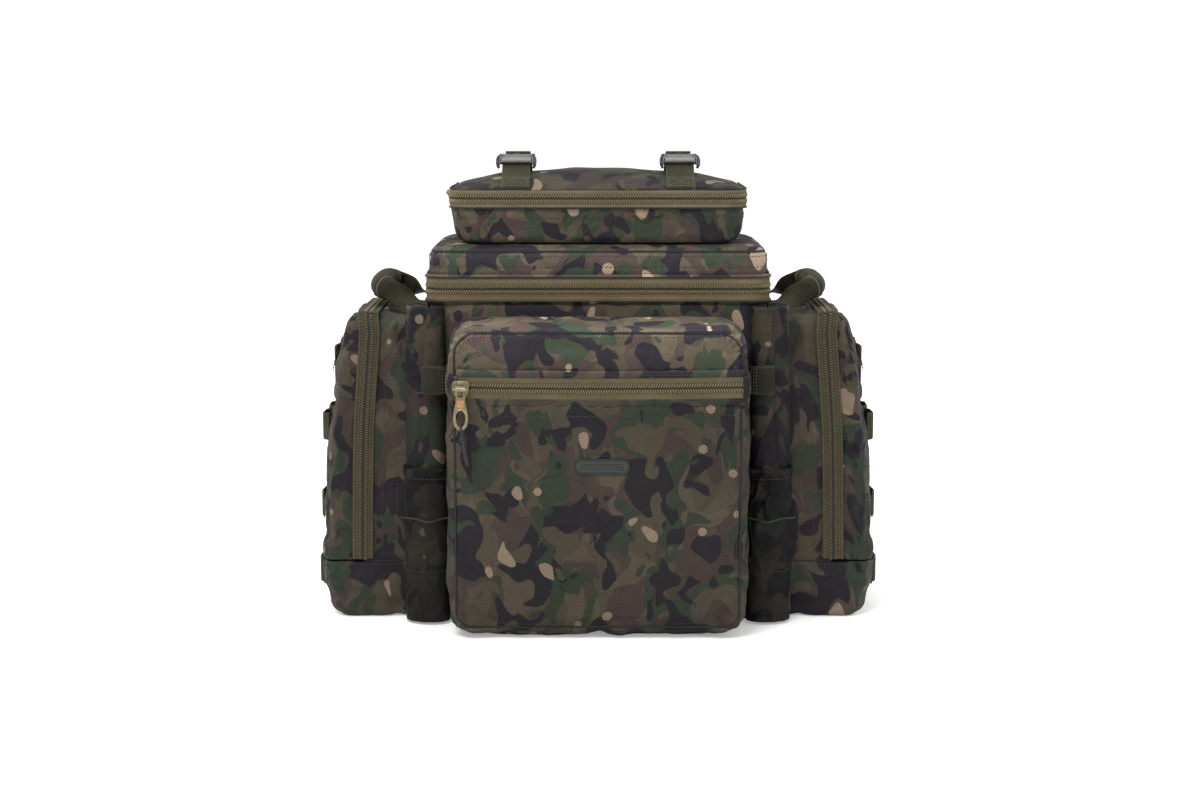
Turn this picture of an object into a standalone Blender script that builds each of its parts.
"""Camouflage tackle backpack: main compartment with a hinged two-tier lid, a front pocket, two side
pockets with drop-down doors, pole sleeves, handles, shoulder straps, zips and lid buckles.

Frame: metres, +X to the wearer's right (and to the right seen from the front), -Y is the front,
+Z up. The origin is on the ground under the main compartment. Sizes below are in millimetres and
scaled by MM. FRONT and BACK are places on Y, BOTTOM and TOP on Z, and HALF is half a width on X.
"""

import math

import bmesh
import bpy
import numpy as np
from mathutils import Matrix, Vector

MM = 0.001
GAP = 0.3  # clearance between neighbouring pieces
WALL = 3.5  # compartment walls and floor, lid roof
THIN_WALL = 3.0  # front pocket, lid sides, upper tier
EDGE_ROUND = 9.0  # bevel of the front pocket's and the lid's outer edges
SIDES = (("left", -1), ("right", 1))  # name, sign of X

# Main compartment
BASE_TOP = 5.0
BODY_HALF = 176.0
BODY_FRONT, BODY_BACK = -100.0, 95.0
BODY_BOTTOM, BODY_TOP = BASE_TOP + GAP, 347.7
BODY_RADIUS = 20.0

# Zips
ZIP_WIDTH = 25.0
MAIN_ZIP_Z = 348.5  # where the two bands of the main zip meet
MAIN_TAPE, LID_TAPE, SIDE_TAPE = 2.4, 2.0, 1.8  # tape thicknesses
SLIDER_STAND = 7.4  # from a slider's underside to its bar's axis
BAR_STAND = GAP + SLIDER_STAND  # from a zip's surface to the bar's axis

# Lid over the main compartment
LID_BOTTOM, LID_TOP = 349.3, 394.0
LID_HINGE = (0, 96.0, MAIN_ZIP_Z)

# Upper tier: pocket on the lid, with its crowned cover
TRAY_BOTTOM, TRAY_BEND, TRAY_TOP = LID_TOP + GAP, 431.0, 439.6
TRAY_HALF_LOW, TRAY_HALF = 144.0, 152.5
TRAY_FRONT, TRAY_BACK = -91.0, 84.0
TRAY_MID = (TRAY_FRONT + TRAY_BACK) / 2
TRAY_DEPTH_HALF = (TRAY_BACK - TRAY_FRONT) / 2
TRAY_RADIUS = 26.0
COVER_BOTTOM = 440.9
COVER_HINGE = (0, 85.0, 440.3)

# Front pocket
POCKET_HALF = 153.0
POCKET_FRONT, POCKET_BACK = -178.0, BODY_FRONT - GAP
POCKET_BOTTOM, POCKET_TOP = 3.0, 322.0
FACE_Y = POCKET_FRONT - GAP  # back of what lies on the pocket's front
FRONT_ZIP_Z = 257.5

# Side pockets (given for the +X side, mirrored for the other)
SIDE_INNER = BODY_HALF + GAP
SIDE_FRONT, SIDE_BACK = -84.0, 70.0
SIDE_SPLIT = 247.0  # X where the door meets the shell
SIDE_OUTER = 291.0
DOOR_HINGE_Z = 60.0

# Webbing
WEB_HALF, WEB_THICK = 15.0, 1.7
STRAP_X = 85.0  # lid straps
SHOULDER_X = 76.0  # shoulder straps

# base colour, roughness, metallic
COLOURS = {
    "camo": ((0.075, 0.068, 0.050), 0.82, 0.0),
    "camo_dark": ((0.045, 0.044, 0.036), 0.85, 0.0),
    "olive_webbing": ((0.110, 0.105, 0.060), 0.78, 0.0),
    "zip_tape": ((0.120, 0.112, 0.065), 0.75, 0.0),
    "buckle_plastic": ((0.020, 0.020, 0.020), 0.38, 0.0),
    "zip_metal": ((0.330, 0.290, 0.200), 0.42, 0.55),
    "back_mesh": ((0.022, 0.024, 0.018), 0.92, 0.0),
    "base_fabric": ((0.018, 0.019, 0.016), 0.60, 0.0),
    "frame_plastic": ((0.060, 0.062, 0.060), 0.55, 0.0),
    "badge_rubber": ((0.030, 0.038, 0.026), 0.70, 0.0),
}

for old in list(bpy.data.objects):
    bpy.data.objects.remove(old, do_unlink=True)
PACK = bpy.data.collections.new("tackle_backpack")
CUTTERS = bpy.data.collections.new("cutters")
bpy.context.scene.collection.children.link(PACK)
bpy.context.scene.collection.children.link(CUTTERS)


# ---------------------------------------------------------------- materials and collections


def material(key):
    found = bpy.data.materials.get(key)
    if found:
        return found
    colour, roughness, metallic = COLOURS[key]
    mat = bpy.data.materials.new(key)
    mat.use_nodes = True
    shader = mat.node_tree.nodes["Principled BSDF"]
    shader.inputs["Base Color"].default_value = (*colour, 1.0)
    shader.inputs["Roughness"].default_value = roughness
    shader.inputs["Metallic"].default_value = metallic
    mat.diffuse_color = (*colour, 1.0)
    return mat


def move_to(obj, collection):
    for current in list(obj.users_collection):
        current.objects.unlink(obj)
    collection.objects.link(obj)


def helper(obj):
    """Hides a solid that only feeds a Boolean."""
    move_to(obj, CUTTERS)
    obj.hide_render = True
    obj.display_type = "WIRE"
    return obj


def place(obj, name, key):
    """Names the object and gives it its material; without a key it becomes a hidden cutter."""
    obj.name = name
    obj.data.name = name
    if key is None:
        return helper(obj)
    move_to(obj, PACK)
    obj.data.materials.clear()
    obj.data.materials.append(material(key))
    return obj


# ---------------------------------------------------------------- outlines


def around(centre, half):
    return (centre - half, centre + half)


def sided(sign, inner, outer):
    """The (low, high) pair on X between two distances from the middle plane."""
    return tuple(sorted((sign * inner, sign * outer)))


def arc(x, y, radius, start, end, steps):
    angles = [math.radians(start + (end - start) * i / steps) for i in range(steps + 1)]
    return [(x + radius * math.cos(a), y + radius * math.sin(a)) for a in angles]


def rrect(x_span, y_span, radius, steps=4, top_radius=None, inset=0.0):
    """A rounded rectangle drawn in by inset, anticlockwise from its low corner."""
    x_low, x_high = x_span[0] + inset, x_span[1] - inset
    y_low, y_high = y_span[0] + inset, y_span[1] - inset
    low = radius - inset
    top = low if top_radius is None else top_radius - inset
    return (
        arc(x_low + low, y_low + low, low, 180, 270, steps)
        + arc(x_high - low, y_low + low, low, 270, 360, steps)
        + arc(x_high - top, y_high - top, top, 0, 90, steps)
        + arc(x_low + top, y_high - top, top, 90, 180, steps)
    )


def offset_path(path, distance):
    """The path moved to its left by distance, with mitred corners."""
    out = []
    for i, point in enumerate(path):
        normals = []
        for start, end in zip(path[max(i - 1, 0):i + 1], path[max(i, 1):i + 2]):
            edge = Vector((end[0] - start[0], end[1] - start[1]))
            edge.normalize()
            normals.append(Vector((-edge.y, edge.x)))
        mitre = sum(normals, Vector((0, 0)))
        mitre.normalize()
        mitre = mitre / max(0.3, mitre.dot(normals[0]))
        out.append((point[0] + mitre.x * distance, point[1] + mitre.y * distance))
    return out


def thick(path, thickness):
    """The closed outline of a strip whose middle runs along path."""
    return offset_path(path, -thickness / 2) + offset_path(path, thickness / 2)[::-1]


def flip(path, sign):
    """The path mirrored to the -X side where sign is -1."""
    return [(sign * x, y) for x, y in path]


# ---------------------------------------------------------------- solids

# plane of the outline: axis it is extruded along, rotation in degrees
PLANES = {"XY": (2, (0, 0, 0)), "XZ": (1, (90, 0, 0)), "YZ": (0, (90, 0, 90))}


def as_mesh(obj):
    """Replaces the curve object by a mesh object with welded caps."""
    bpy.context.view_layer.update()
    graph = bpy.context.evaluated_depsgraph_get()
    mesh = bpy.data.meshes.new_from_object(obj.evaluated_get(graph))
    made = bpy.data.objects.new(obj.name + "_mesh", mesh)
    made.matrix_world = obj.matrix_world.copy()
    bm = bmesh.new()
    bm.from_mesh(mesh)
    bmesh.ops.remove_doubles(bm, verts=bm.verts, dist=1e-6)
    bmesh.ops.recalc_face_normals(bm, faces=bm.faces)
    bm.to_mesh(mesh)
    bm.free()
    bpy.data.objects.remove(obj, do_unlink=True)
    return made


def prism(name, outline, low, high, plane, key=None, holes=()):
    """A flat outline extruded from low to high along the axis that plane leaves out."""
    data = bpy.data.curves.new(name, "CURVE")
    data.dimensions = "2D"
    data.fill_mode = "BOTH"
    data.extrude = (high - low) / 2 * MM
    for loop in (outline, *holes):
        spline = data.splines.new("POLY")
        spline.points.add(len(loop) - 1)
        for point, (x, y) in zip(spline.points, loop):
            point.co = (x * MM, y * MM, 0.0, 1.0)
        spline.use_cyclic_u = True
    obj = bpy.data.objects.new(name, data)
    PACK.objects.link(obj)
    axis, turn = PLANES[plane]
    obj.rotation_euler = [math.radians(angle) for angle in turn]
    obj.location[axis] = (low + high) / 2 * MM
    return place(as_mesh(obj), name, key)


def box(name, x, y, z, key=None, bevel=0.0, segments=2):
    """A box between the (low, high) pairs, its edges rounded by bevel."""
    centre = [(low + high) / 2 * MM for low, high in (x, y, z)]
    sides = [(high - low) * MM for low, high in (x, y, z)]
    bpy.ops.mesh.primitive_cube_add(size=1, location=centre)
    obj = bpy.context.active_object
    for vertex in obj.data.vertices:
        vertex.co = Vector([c * side for c, side in zip(vertex.co, sides)])
    if bevel:
        mod = obj.modifiers.new("rounded", "BEVEL")
        mod.width = bevel * MM
        mod.segments = segments
        mod.limit_method = "ANGLE"
    return place(obj, name, key)


def loft(name, rings, key=None):
    """A solid through rings of equal point count, each (z, outline), lowest first."""
    bm = bmesh.new()
    rows = [[bm.verts.new((x * MM, y * MM, z * MM)) for x, y in ring] for z, ring in rings]
    for low, high in zip(rows, rows[1:]):
        count = len(low)
        for i in range(count):
            after = (i + 1) % count
            bm.faces.new((low[i], low[after], high[after], high[i]))
    bm.faces.new(rows[0][::-1])
    bm.faces.new(rows[-1])
    bmesh.ops.recalc_face_normals(bm, faces=bm.faces)
    mesh = bpy.data.meshes.new(name)
    bm.to_mesh(mesh)
    bm.free()
    return place(bpy.data.objects.new(name, mesh), name, key)


def round_edges(obj, test, width, segments=2):
    """Bevels the sharp edges whose two ends both pass the test, which reads millimetres."""
    bm = bmesh.new()
    bm.from_mesh(obj.data)
    world = obj.matrix_world
    good = {vertex for vertex in bm.verts if test(world @ vertex.co / MM)}
    edges = [edge for edge in bm.edges
             if all(vertex in good for vertex in edge.verts)
             and len(edge.link_faces) == 2
             and edge.calc_face_angle(0) > math.radians(35)]
    bmesh.ops.bevel(
        bm, geom=edges, offset=width * MM, segments=segments, profile=0.5, affect="EDGES")
    bm.to_mesh(obj.data)
    bm.free()


def boolean(obj, other, kind="DIFFERENCE"):
    mod = obj.modifiers.new(kind.lower() + "_" + other.name, "BOOLEAN")
    mod.object = other
    mod.operation = kind
    mod.solver = "EXACT"


def join(obj, other):
    boolean(obj, helper(other), "UNION")


def smooth(obj):
    obj.data.shade_smooth()
    obj.data.set_sharp_from_angle(angle=math.radians(40))
    return obj


def rebase(obj, matrix):
    """Bakes the object's placing into its mesh, then places its new origin by matrix."""
    obj.data.transform(obj.matrix_world)
    obj.matrix_world = matrix


def empty(name, location):
    joint = bpy.data.objects.new(name, None)
    joint.location = [c * MM for c in location]
    PACK.objects.link(joint)
    return joint


def hang(parent, *objects):
    """Parents the objects to a joint's empty without moving them."""
    for obj in objects:
        bpy.context.view_layer.update()
        obj.parent = parent
        obj.matrix_parent_inverse = parent.matrix_world.inverted()


# ---------------------------------------------------------------- main compartment

PAD_FRONT = BODY_BACK + GAP
# (x, y) round the back pad: two raised halves with a channel between them
BACK_PAD = [
    (-138, PAD_FRONT), (138, PAD_FRONT), (138, 107), (131, 113), (22, 113),
    (15, 105), (-15, 105), (-22, 113), (-131, 113), (-138, 107),
]


def main_compartment():
    plan = (around(0, BODY_HALF), (BODY_FRONT, BODY_BACK), BODY_RADIUS)
    body = prism("main_compartment", rrect(*plan), BODY_BOTTOM, BODY_TOP, "XY", "camo")
    boolean(body, prism(
        "cut_main", rrect(*plan, inset=WALL), BODY_BOTTOM + WALL, BODY_TOP + 20, "XY"))
    smooth(body)


def base_and_back():
    base = rrect(around(0, 168), (BODY_FRONT + 6, BODY_BACK - 6), 16, steps=3)
    prism("base_panel", base, 0.0, BASE_TOP, "XY", "base_fabric")
    prism("back_pad", BACK_PAD, 58, 296, "XY", "back_mesh")
    box("frame_sheet", around(0, 150), (89.2, 91.2), (12, 330), "frame_plastic")


# ---------------------------------------------------------------- front pocket

FRONT_TAPE_X = (-144, 146)
SLOT_END = 6  # the slot stops this far inside each end of the tape
SLOT_HALF = 2.5
COIL_OUT = 2.2  # how far the zip's middle ridge stands out
# (distance out, height from the zip's middle) round the tape's section
FRONT_TAPE = [
    (0, -ZIP_WIDTH / 2), (0, ZIP_WIDTH / 2), (1, ZIP_WIDTH / 2), (1, 4.6),
    (COIL_OUT, 4), (COIL_OUT, -4), (1, -4.6), (1, -ZIP_WIDTH / 2),
]
BADGE_X, BADGE_Z = (-24, 32), (171, 186.5)
BADGE_RADIUS, BADGE_THICK = 7.4, 2.4


def front_pocket():
    face = (around(0, POCKET_HALF), (POCKET_BOTTOM, POCKET_TOP))
    radii = {"radius": 24, "top_radius": 32}
    pocket = prism(
        "front_pocket", rrect(*face, **radii), POCKET_FRONT, POCKET_BACK, "XZ", "camo")
    round_edges(pocket, lambda point: point.y < POCKET_FRONT + 0.1, EDGE_ROUND)
    boolean(pocket, prism(
        "cut_front_pocket", rrect(*face, **radii, inset=THIN_WALL),
        POCKET_FRONT + THIN_WALL, POCKET_BACK + 10, "XZ"))
    boolean(pocket, box(
        "cut_zip_slot", (FRONT_TAPE_X[0] + SLOT_END, FRONT_TAPE_X[1] - SLOT_END),
        (POCKET_FRONT - 5, POCKET_FRONT + 6), around(FRONT_ZIP_Z, SLOT_HALF)))
    smooth(pocket)


def front_tape():
    section = [(FACE_Y - out, FRONT_ZIP_Z + up) for out, up in FRONT_TAPE]
    prism("front_zip_tape", section, *FRONT_TAPE_X, "YZ", "zip_tape")


def front_badge():
    front = FACE_Y - BADGE_THICK
    badge = prism(
        "badge", rrect(BADGE_X, BADGE_Z, BADGE_RADIUS), front, FACE_Y, "XZ", "badge_rubber")
    round_edges(badge, lambda point: point.y < front + 0.1, 0.8, segments=1)


# ---------------------------------------------------------------- zip sliders and pulls

BRIDGE_HALF = 1.1
# (x, y) along the bridge, from the plate over the bar and back
BRIDGE = [(-7.4, 5.2), (-7.4, 1.2), (-6.2, 0), (6.2, 0), (7.4, 1.2), (7.4, 5.2)]
PULL_HOLE_Z = -30  # middle of a long pull's hole and its widest place
PULL_LONG, PULL_LID, PULL_SHORT = 40.0, 36.0, 14.5


def seat(point, bar, out):
    """Local X along bar, local -Y along out, at point, in millimetres."""
    x, y = Vector(bar).normalized(), -Vector(out).normalized()
    matrix = Matrix((x, y, x.cross(y))).transposed().to_4x4()
    matrix.translation = Vector(point) * MM
    return matrix


def slider(name, matrix):
    """A plate and the bridge over it. Local -Y points out. Origin: the bar's axis."""
    plate = prism(
        name, rrect(around(0, 8.5), around(0, 8), 3.5, steps=2),
        4.0, SLIDER_STAND, "XZ", "zip_metal")
    bridge = prism(
        name + "_bridge", thick(BRIDGE, 2 * BRIDGE_HALF), -BRIDGE_HALF, BRIDGE_HALF, "XY",
        "zip_metal")
    join(plate, bridge)
    rebase(plate, matrix)
    rebase(bridge, matrix)
    return plate


def pull(name, matrix, length):
    """A tab along -Z from a knuckle round the bar; a long one is waisted, with a hole."""
    holes = []
    if length == PULL_SHORT:
        right = [(4.4, -2.6), (4.4, -length + 3), (2.6, -length)]
    else:
        right = [(4.6, -2.6), (5.4, -16), (6.6, -22), (7.6, PULL_HOLE_Z),
                 (5.6, -length + 3), (2.6, -length)]
        holes = [arc(0, PULL_HOLE_Z, 4.4, 0, 315, 7)]
    left = flip(right, -1)
    outline = left[:1] + right + left[:0:-1]
    plate = prism(name, outline, -0.9, 0.9, "XZ", "zip_metal", holes)
    knuckle = prism(
        name + "_knuckle", arc(0, 0, 3.4, 0, 315, 7), -5.2, 5.2, "YZ", "zip_metal",
        [arc(0, 0, 2.1, 0, 315, 7)])
    join(plate, knuckle)
    rebase(plate, matrix)
    rebase(knuckle, matrix)
    return plate


def slider_and_pull(zip_name, point, bar, out, length=PULL_LONG):
    matrix = seat(point, bar, out)
    return slider(zip_name + "_slider", matrix), pull(zip_name + "_pull", matrix, length)


FRONT_BAR = (-136.0, FACE_Y - COIL_OUT - BAR_STAND, FRONT_ZIP_Z)
CORD_RADIUS = 0.9
# (x, y, z) from the front slider's bar: through the pull's hole and down
CORD = [
    (-2.4, -2.6, -42.5), (-1.0, -2.8, -31.5), (1.0, 2.6, -31.5),
    (3.0, 2.6, -44), (5.2, 2.2, -60), (4.4, 2.0, -78),
]


def pull_cord():
    data = bpy.data.curves.new("front_pull_cord", "CURVE")
    data.dimensions = "3D"
    data.bevel_depth = CORD_RADIUS * MM
    data.bevel_resolution = 1
    data.use_fill_caps = True
    spline = data.splines.new("POLY")
    spline.points.add(len(CORD) - 1)
    for point, offset in zip(spline.points, CORD):
        point.co = (*[(bar + c) * MM for bar, c in zip(FRONT_BAR, offset)], 1.0)
    cord = bpy.data.objects.new("front_pull_cord", data)
    place(cord, "front_pull_cord", "buckle_plastic")


# ---------------------------------------------------------------- lid and its upper tier

MAIN_TAPE_BACK, LID_TAPE_BACK = 74, 62  # Y where the bands end on the sides
# z, half width, front, back
TRAY_UPPER = (TRAY_HALF, TRAY_FRONT, TRAY_BACK)
TRAY = [
    (TRAY_BOTTOM, TRAY_HALF_LOW - 4, -84, 76), (400, TRAY_HALF_LOW, -88, 80),
    (TRAY_BEND, *TRAY_UPPER), (TRAY_TOP, *TRAY_UPPER),
]
# the same for the hollow, before it is drawn in by the wall
TRAY_HOLLOW = [
    (397.5, TRAY_HALF_LOW - 3, -85, 77), (402, TRAY_HALF_LOW, -88, 80),
    (TRAY_BEND, *TRAY_UPPER), (TRAY_TOP + 9, *TRAY_UPPER),
]
# z, half width, half depth of the cover above its bottom ring
CROWN = [
    (449, TRAY_HALF, TRAY_DEPTH_HALF), (456, 147, 83), (462, 136, 74.5),
    (467, 115, 59.5), (470, 85, 40),
]


def zip_band(name, half, front, back, radius, thickness, low, high):
    """Tape round the front and sides of a rounded box, held off it by GAP."""
    off = GAP + thickness / 2
    half, front, radius = half + off, front - off, radius + off
    path = (
        [(-half, back)]
        + arc(-half + radius, front + radius, radius, 180, 270, 4)
        + arc(half - radius, front + radius, radius, 270, 360, 4)
        + [(half, back)])
    return smooth(prism(name, thick(path, thickness), low, high, "XY", "zip_tape"))


def main_lid():
    plan = (around(0, BODY_HALF), (BODY_FRONT, BODY_BACK), BODY_RADIUS)
    lid = prism("main_lid", rrect(*plan), LID_BOTTOM, LID_TOP, "XY", "camo")
    round_edges(lid, lambda point: point.z > LID_TOP - 0.1, EDGE_ROUND)
    boolean(lid, prism(
        "cut_lid", rrect(*plan, inset=THIN_WALL), LID_BOTTOM - 10, LID_TOP - WALL, "XY"))
    return smooth(lid)


def lid_pocket():
    def rings(table, inset=0.0):
        return [(z, rrect(around(0, half), (front, back), TRAY_RADIUS, inset=inset))
                for z, half, front, back in table]

    tray = loft("lid_pocket", rings(TRAY), "camo")
    boolean(tray, loft("cut_tray", rings(TRAY_HOLLOW, THIN_WALL)))
    return smooth(tray)


def lid_cover():
    def ring(half, depth_half, inset=0.0):
        return rrect(around(0, half), around(TRAY_MID, depth_half), TRAY_RADIUS, inset=inset)

    bottom = (TRAY_HALF, TRAY_DEPTH_HALF)
    cover = loft("lid_cover", [(COVER_BOTTOM, ring(*bottom))] + [
        (z, ring(half, depth)) for z, half, depth in CROWN], "camo")
    # the hollow's crown lies a wall lower, but its upright sides end at the same height
    boolean(cover, loft("cut_cover", [(COVER_BOTTOM - 8, ring(*bottom, THIN_WALL))] + [
        (z - (0 if z < 450 else THIN_WALL), ring(half, depth, THIN_WALL))
        for z, half, depth in CROWN]))
    return smooth(cover)


def lid_assembly():
    """Builds the lid and the upper tier on their joints, and returns the cover's joint."""
    body_run = (BODY_HALF, BODY_FRONT, MAIN_TAPE_BACK, BODY_RADIUS, MAIN_TAPE)
    tray_run = (TRAY_HALF, TRAY_FRONT, LID_TAPE_BACK, TRAY_RADIUS, LID_TAPE)
    zip_band("main_zip_lower_tape", *body_run, MAIN_ZIP_Z - ZIP_WIDTH / 2, MAIN_ZIP_Z - GAP)
    lid_joint = empty("lid_hinge", LID_HINGE)
    cover_joint = empty("cover_hinge", COVER_HINGE)
    hang(
        lid_joint, main_lid(),
        zip_band(
            "main_zip_upper_tape", *body_run, MAIN_ZIP_Z + GAP, MAIN_ZIP_Z + ZIP_WIDTH / 2),
        lid_pocket(), zip_band("lid_zip_lower_tape", *tray_run, TRAY_BEND, 440.0),
        cover_joint)
    hang(
        cover_joint, lid_cover(),
        zip_band("lid_zip_upper_tape", *tray_run, COVER_BOTTOM, 449.6))
    bar = (-(TRAY_HALF + GAP + LID_TAPE + BAR_STAND), 44, 440.4)
    hang(lid_joint, *slider_and_pull("lid_zip", bar, (0, -1, 0), (-1, 0, 0), PULL_LID))
    return cover_joint


# ---------------------------------------------------------------- lid straps and their buckles

# (y, z) up the cover's front slope, mirrored for the rear one
STRAP_SLOPE = [(-93.0, 451.0), (-88.6, 457.6), (-79.2, 464.0), (-63.6, 469.0)]
# on to the buckle's slot, up through it and folded back over its bar
STRAP_FOLD = [
    (-52.0, 470.9), (-45.2, 471.6), (-45.2, 485.5), (-50, 485.6), (-57, 484.6)]
# the rear strap's level end
STRAP_LEVEL = [(2 * TRAY_MID + 45, 471.7), (4.0, 471.9)]

# blocks: x from the strap's middle, half width, (y low, high), (z low, high)
FEMALE = (0, 19, (-50, -15), (473.6, 483.4))
FEMALE_CUTS = {
    "slot": (0, 16, (-46.9, -43.4), (460, 500)),
    "mouth": (0, 14.8, (-39, -5), (475.4, 481.6)),
    "windows": (0, 30, (-34, -23), (476.0, 481.0)),
}
MALE = (0, 17.5, (-14.4, 9), (474, 483))
MALE_SLOT = (0, 14, (-1.5, 5), (460, 500))
MALE_ARMS = {
    "prong_a": (-10.6, 3, (-36, -13), (476.2, 480.8)),
    "prong_b": (10.6, 3, (-36, -13), (476.2, 480.8)),
    "guide": (0, 2, (-33, -13), (476.4, 480.6)),
}


def lid_strap(side, sign, cover_joint):
    middle = sign * STRAP_X

    def web(end, path):
        return prism(
            f"{side}_lid_strap_{end}", thick(path, WEB_THICK), *around(middle, WEB_HALF),
            "YZ", "olive_webbing")

    def block(name, size, *look):
        offset, half, y_span, z_span = size
        return box(name, around(middle + offset, half), y_span, z_span, *look)

    front_web = web("front", STRAP_SLOPE + STRAP_FOLD)
    rear_web = web("rear", [(2 * TRAY_MID - y, z) for y, z in STRAP_SLOPE] + STRAP_LEVEL)

    female = block(f"{side}_buckle_female", FEMALE, "buckle_plastic", 2.2, 2)
    for cut, size in FEMALE_CUTS.items():
        boolean(female, block(f"cut_{side}_{cut}", size))
    smooth(female)

    male = block(f"{side}_buckle_male", MALE, "buckle_plastic", 1.8, 1)
    boolean(male, block(f"cut_{side}_male_slots", MALE_SLOT))
    for arm, size in MALE_ARMS.items():
        join(male, block(f"{side}_{arm}", size, "buckle_plastic"))
    hang(cover_joint, front_web, rear_web, female, male)


# ---------------------------------------------------------------- side pockets and doors

# z, outer x, how far the front and rear are drawn in
SIDE_LEVELS = [
    (0.5, 272, 3.0), (12, 284, 0), (36, 290, 0), (60, SIDE_OUTER, 0), (120, 290, 0),
    (200, 285, 0), (270, 276, 0), (300, 268, 0), (308, 265, 0),
    (316, 260, 2.5), (320.5, 255.5, 7.5), (322, 251, 14),
]
# the same for the hollow, before it is drawn in by the wall
SIDE_HOLLOW = [
    (4.0, 277, 1.0), (12, 284, 0), (36, 290, 0), (60, SIDE_OUTER, 0), (120, 290, 0),
    (200, 285, 0), (270, 276, 0), (300, 268, 0), (308, 264, 0.4),
    (315, 258.5, 4.0), (318.6, 253, 10.5),
]
SIDE_WALL = 3.2
SIDE_CORNER = 12
DOOR_GAP = 0.6  # from the split to each edge
SIDE_TAPE_BOTTOM = 63
ROW_STAND = GAP + 0.9  # from the pocket's face to the middle of its webbing
ROW_LOOPS = ((-46, -8), (6, 44))  # Y from seam to seam
ROW_LIFT, ROW_SLANT, ROW_TAIL = 7.5, 7, 7  # loop height, run of its ends, flat past the seams


def outer_x(z):
    """How far the pocket's outer face stands from the middle plane at height z."""
    heights, outs, _ = zip(*SIDE_LEVELS)
    return float(np.interp(z, heights, outs))


def side_ring(outer, draw, inset, inner):
    """Plan of a side pocket with eased outer corners, drawn in by inset for the hollow."""
    front, back = SIDE_FRONT + draw + inset, SIDE_BACK - draw - inset
    outer = outer - inset
    corner = SIDE_CORNER - inset * 0.5
    return [
        (inner, front), (outer - corner, front),
        (outer - corner * 0.45, front + corner * 0.45), (outer - 2, front + corner * 1.4),
        (outer, front + 40), (outer, back - 40),
        (outer - 2, back - corner * 1.4), (outer - corner * 0.45, back - corner * 0.45),
        (outer - corner, back), (inner, back)]


def hollow_pocket(name, cutter_name, sign):
    """The whole side pocket, open to the inside, before shell and door are parted."""
    def rings(table, inset, inner):
        return [(z, flip(side_ring(outer, draw, inset, inner), sign))
                for z, outer, draw in table]

    whole = loft(name, rings(SIDE_LEVELS, 0, SIDE_INNER), "camo")
    boolean(whole, loft(cutter_name, rings(SIDE_HOLLOW, SIDE_WALL, SIDE_INNER - 9)))
    return whole


def door_block(name, sign, gap):
    """The space outside the split and above the door's foot, its faces moved in by gap."""
    return box(
        name, sided(sign, SIDE_SPLIT + gap, 330), (-120, 110), (DOOR_HINGE_Z + gap, 400))


def side_pocket(side, sign):
    shell = hollow_pocket(f"{side}_pocket", f"cut_{side}_cavity", sign)
    # the doorway starts below the door's foot but, like the tape, leaves the split clear
    boolean(shell, box(
        f"cut_{side}_doorway", sided(sign, SIDE_SPLIT - DOOR_GAP, 330), (-120, 110),
        (DOOR_HINGE_Z - DOOR_GAP, 400)))
    smooth(shell)
    door = hollow_pocket(f"{side}_pocket_door", f"cut_{side}_door_cavity", sign)
    boolean(door, door_block(f"keep_{side}_door", sign, DOOR_GAP), "INTERSECT")
    smooth(door)
    door_joint = empty(f"{side}_door_hinge", (sign * SIDE_OUTER, 0, DOOR_HINGE_Z))
    hang(door_joint, door, door_webbing(side, sign))


def side_tape(side, sign):
    """Zip tape up the front, over the top and down the rear, on the shell's edge."""
    top = SIDE_LEVELS[-4:]
    edge = (
        [(SIDE_FRONT, SIDE_TAPE_BOTTOM)]
        + [(SIDE_FRONT + draw, z) for z, _, draw in top]
        + [(SIDE_BACK - draw, z) for z, _, draw in reversed(top)]
        + [(SIDE_BACK, SIDE_TAPE_BOTTOM)])
    path = offset_path(edge, GAP + SIDE_TAPE / 2)
    smooth(prism(
        f"{side}_pocket_zip_tape", thick(path, SIDE_TAPE),
        *sided(sign, SIDE_SPLIT - 11.5, SIDE_SPLIT - 0.8), "YZ", "zip_tape"))


def webbing_row(name, sign, z, face):
    """A strip along the pocket's outer face that stands off it in loops between its seams."""
    flat = face + ROW_STAND
    raised = flat + ROW_LIFT
    path = [(flat, ROW_LOOPS[0][0] - ROW_TAIL)]
    for start, end in ROW_LOOPS:
        path += [(flat, start), (raised, start + ROW_SLANT), (raised, end - ROW_SLANT),
                 (flat, end)]
    path += [(flat, ROW_LOOPS[-1][1] + ROW_TAIL)]
    return prism(
        name, flip(thick(path, WEB_THICK), sign), *around(z, WEB_HALF), "XY", "olive_webbing")


def door_webbing(side, sign):
    """Three rows, each set off the face at its lower edge, and the upright strip joining them."""
    def row(name, z):
        return webbing_row(f"{side}_{name}", sign, z, outer_x(z - WEB_HALF))

    webbing = row("door_webbing", 114)
    join(webbing, row("webbing_mid", 198))
    join(webbing, row("webbing_high", 271))
    path = [(sign * (outer_x(z) + ROW_STAND), z) for z in (99, 120, 160, 200, 240, 270, 284)]
    join(webbing, prism(
        f"{side}_webbing_backing", thick(path, 1.5), 44, 50, "XZ", "olive_webbing"))
    return webbing


# ---------------------------------------------------------------- pole sleeves

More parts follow.
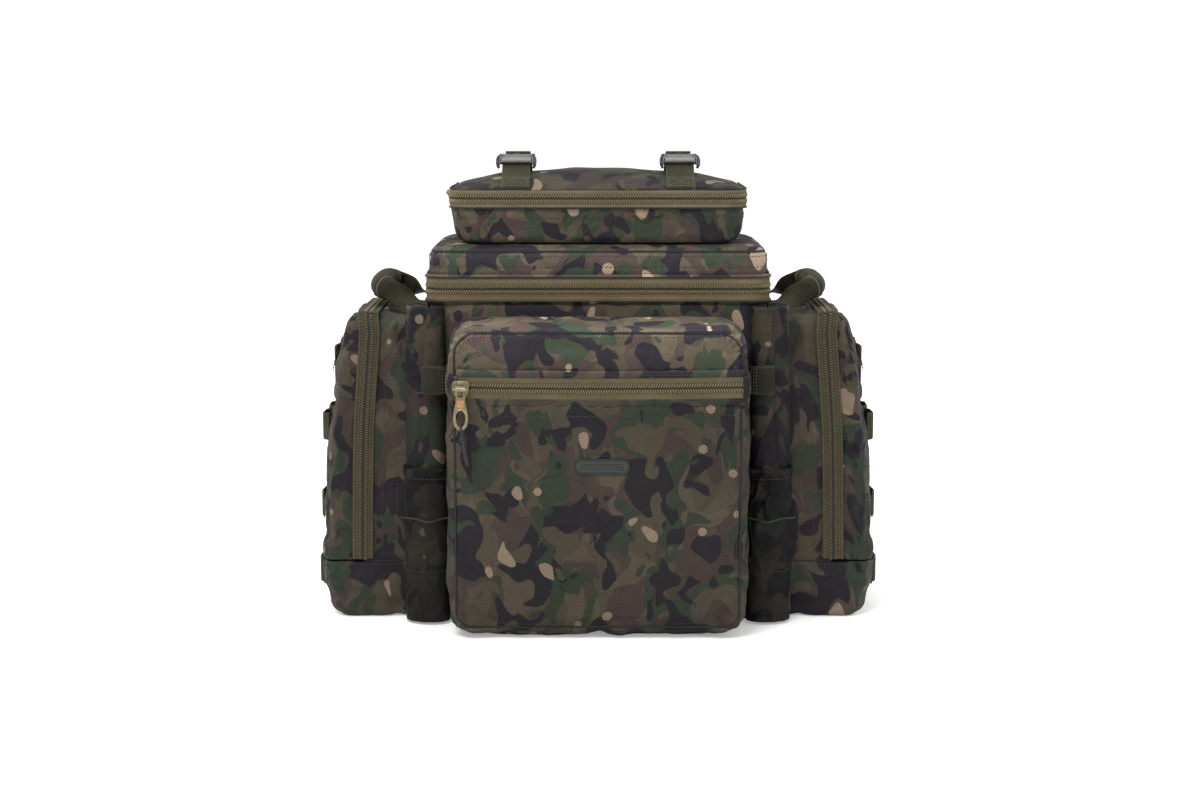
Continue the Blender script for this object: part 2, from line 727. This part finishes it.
# name: (x, y) path round the front corner, thickness, bottom, top, material
POLE_PARTS = {
    "pole_sleeve": (
        [(156.2, -101.8), (159, -111), (167, -116.5), (182, -116.5), (193, -110),
         (198.4, -99), (198.6, -85.6)], 2.2, 3.0, 332.0, "camo_dark"),
    "pole_pocket": (
        [(154.7, -104.5), (156.2, -113), (165.6, -120), (183.2, -120.2), (195.8, -112.6),
         (201.9, -100), (202.2, -85.6)], 2.0, 3.0, 165.0, "camo"),
    "pole_loop": (
        [(155.4, -113.5), (157.5, -122.5), (165, -128.5), (178, -128.5), (188, -122),
         (192, -116.2)], 1.8, 243.0, 273.0, "olive_webbing"),
}


def pole_parts(side, sign):
    for name, (path, thickness, bottom, top, key) in POLE_PARTS.items():
        outline = flip(thick(path, thickness), sign)
        smooth(prism(f"{side}_{name}", outline, bottom, top, "XY", key))


# ---------------------------------------------------------------- handles

HANDLE_THICK = 2.4
HANDLE_X, HANDLE_Z = 177.2, 334.0
HANDLE_TILT = 18  # degrees, outer end up
GRIP_X = 54
# (distance out, y) along the side handle
SIDE_HANDLE = [
    (6, -50), (22, -50), (44, -47), (GRIP_X, -38), (GRIP_X, 38), (44, 47), (22, 50), (6, 50)]
HAUL_Y, HAUL_Z = 99.8, 326
HAUL_TILT = 22  # degrees, rear end down
# (x, distance back) along the haul handle
HAUL_HANDLE = [(-42, 0), (-42, 20), (-32, 34), (32, 34), (42, 20), (42, 0)]


def side_handle(side, sign):
    """A U of webbing with a round grip on its middle."""
    hinge = (sign * HANDLE_X, 0, HANDLE_Z)
    joint = empty(f"{side}_handle_hinge", hinge)
    legs = prism(
        f"{side}_side_handle", flip(thick(SIDE_HANDLE, HANDLE_THICK), sign), -11.0, 0.0, "XY",
        "olive_webbing")
    bpy.ops.mesh.primitive_cylinder_add(
        vertices=12, radius=12.5 * MM, depth=84 * MM, end_fill_type="NGON",
        location=(sign * GRIP_X * MM, 0, -4 * MM), rotation=(math.radians(90), 0, 0))
    grip = place(bpy.context.active_object, f"{side}_grip", "olive_webbing")
    # the grip's world matrix has to be current before it is baked
    bpy.context.view_layer.update()
    tilt = Matrix.Rotation(math.radians(-HANDLE_TILT * sign), 4, "Y")
    matrix = Matrix.Translation(Vector(hinge) * MM) @ tilt
    rebase(legs, matrix)
    rebase(grip, matrix)
    join(legs, grip)
    hang(joint, smooth(legs))


def haul_handle():
    """The handle at the top of the back."""
    haul = prism(
        "haul_handle", thick(HAUL_HANDLE, HANDLE_THICK), -4.0, 4.0, "XY", "olive_webbing")
    tilt = Matrix.Rotation(math.radians(-HAUL_TILT), 4, "X")
    rebase(haul, Matrix.Translation(Vector((0, HAUL_Y, HAUL_Z)) * MM) @ tilt)


# ---------------------------------------------------------------- shoulder straps

# (y, z) down the padded strap
SHOULDER_PATH = [
    (120.5, 288), (120.5, 314), (126, 324), (137, 326), (147, 316), (152.5, 285),
    (153, 220), (149, 160), (144.5, 116)]
# (y, z) up the adjusting webbing, from the base towards the ladder lock
ADJUSTING_PATH = [(96.5, 18), (96.5, 38), (107, 46), (126, 68), (137.5, 88)]
LOCK_HALF, LOCK_RIM = 18, 4
LOCK_SLOTS = {"top": 107, "low": 97}  # Z of the slots' middles


def shoulder_strap(side, sign):
    middle = sign * SHOULDER_X
    joint = empty(f"{side}_strap_hinge", (middle, 134, 326))
    pad = smooth(prism(
        f"{side}_shoulder_strap", thick(SHOULDER_PATH, 10), *around(middle, 30), "YZ",
        "back_mesh"))
    lock = box(
        f"{side}_ladder_lock", around(middle, LOCK_HALF), (141, 146), (89.5, 114.6),
        "buckle_plastic", bevel=1.2, segments=1)
    for slot, z in LOCK_SLOTS.items():
        boolean(lock, box(
            f"cut_{side}_lock_{slot}", around(middle, LOCK_HALF - LOCK_RIM), (130, 160),
            around(z, 2.2)))
    hang(joint, pad, lock)
    prism(
        f"{side}_adjusting_web", thick(ADJUSTING_PATH, 1.8), *around(middle, 12.5), "YZ",
        "olive_webbing")


# ---------------------------------------------------------------- assembly


def side_sliders(side, sign):
    # on the main zip's side run: the bar stands upright and the pull lies back along the zip
    bar = (sign * (BODY_HALF + GAP + MAIN_TAPE + BAR_STAND), 66, MAIN_ZIP_Z)
    slider_and_pull(f"{side}_main_zip", bar, (0, 0, sign), (sign, 0, 0), PULL_SHORT)
    # low on the side pocket zip's rear run
    bar = (sign * SIDE_SPLIT, SIDE_BACK + GAP + SIDE_TAPE + BAR_STAND, 86)
    slider_and_pull(f"{side}_pocket_zip", bar, (-1, 0, 0), (0, 1, 0))


main_compartment()
base_and_back()
front_pocket()
front_tape()
front_badge()
slider_and_pull("front_zip", FRONT_BAR, (1, 0, 0), (0, -1, 0))
pull_cord()
strap_joint = lid_assembly()
for side_name, side_sign in SIDES:
    lid_strap(side_name, side_sign, strap_joint)
    side_pocket(side_name, side_sign)
    side_tape(side_name, side_sign)
    webbing_row(f"{side_name}_base_webbing", side_sign, 42, SIDE_OUTER)
    pole_parts(side_name, side_sign)
    side_handle(side_name, side_sign)
    shoulder_strap(side_name, side_sign)
    side_sliders(side_name, side_sign)
haul_handle()
bpy.context.view_layer.update()
